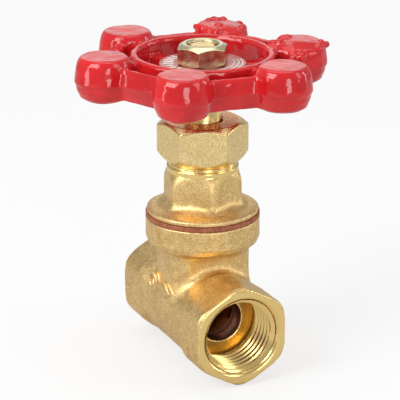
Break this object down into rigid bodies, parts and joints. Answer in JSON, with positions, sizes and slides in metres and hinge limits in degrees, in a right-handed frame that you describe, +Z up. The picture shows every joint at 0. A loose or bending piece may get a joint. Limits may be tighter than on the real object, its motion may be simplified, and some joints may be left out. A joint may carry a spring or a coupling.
{
  "type": "gate valve",
  "caption": "Brass gate valve with threaded hexagon ends, a screwed bonnet, a non-rising stem and a round handwheel with knobs.",
  "frame": {"origin": "where the bore axis crosses the stem axis", "axes": "+X along the bore, out of the outlet; +Z up the stem, towards the handwheel"},
  "size_m": [0.066, 0.0708, 0.0902],
  "materials": {
    "cast_brass": "sand cast and shot blasted, fine grain",
    "turned_brass": "turned, glossy",
    "red_paint": "thick glossy paint on a casting",
    "gasket_fibre": "matt pressed fibre",
    "graphite_packing": "matt braided graphite",
    "name_plate_metal": "printed and stamped sheet",
    "zinc_plate": "yellow chromated zinc"
  },
  "bodies": {
    "valve": {"valve_body": "cast_brass", "bonnet_gasket": "gasket_fibre", "bonnet": "cast_brass", "thrust_washer": "turned_brass", "packing_ring_1": "graphite_packing", "packing_ring_2": "graphite_packing", "packing_ring_3": "graphite_packing", "packing_ring_4": "graphite_packing", "packing_gland": "turned_brass", "packing_nut": "turned_brass"},
    "wheel_and_stem": {"stem": "turned_brass", "handwheel": "red_paint", "name_plate": "name_plate_metal", "wheel_nut": "zinc_plate"},
    "gate_disc": {"gate": "cast_brass"}
  },
  "joints": [
    {"name": "wheel_turn", "type": "hinge", "parent": "valve", "child": "wheel_and_stem", "pos_m": [0, 0, 0.0605], "axis": [0, 0, 1], "range_deg": [-1800, 0]},
    {"name": "gate_slide", "type": "slide", "parent": "valve", "child": "gate_disc", "axis": [0, 0, 1], "range_m": [-0.015, 0]}
  ],
  "couplings": [
    {"joint": "gate_slide", "follows": "wheel_turn", "m_per_rad": 0.00047746}
  ]
}
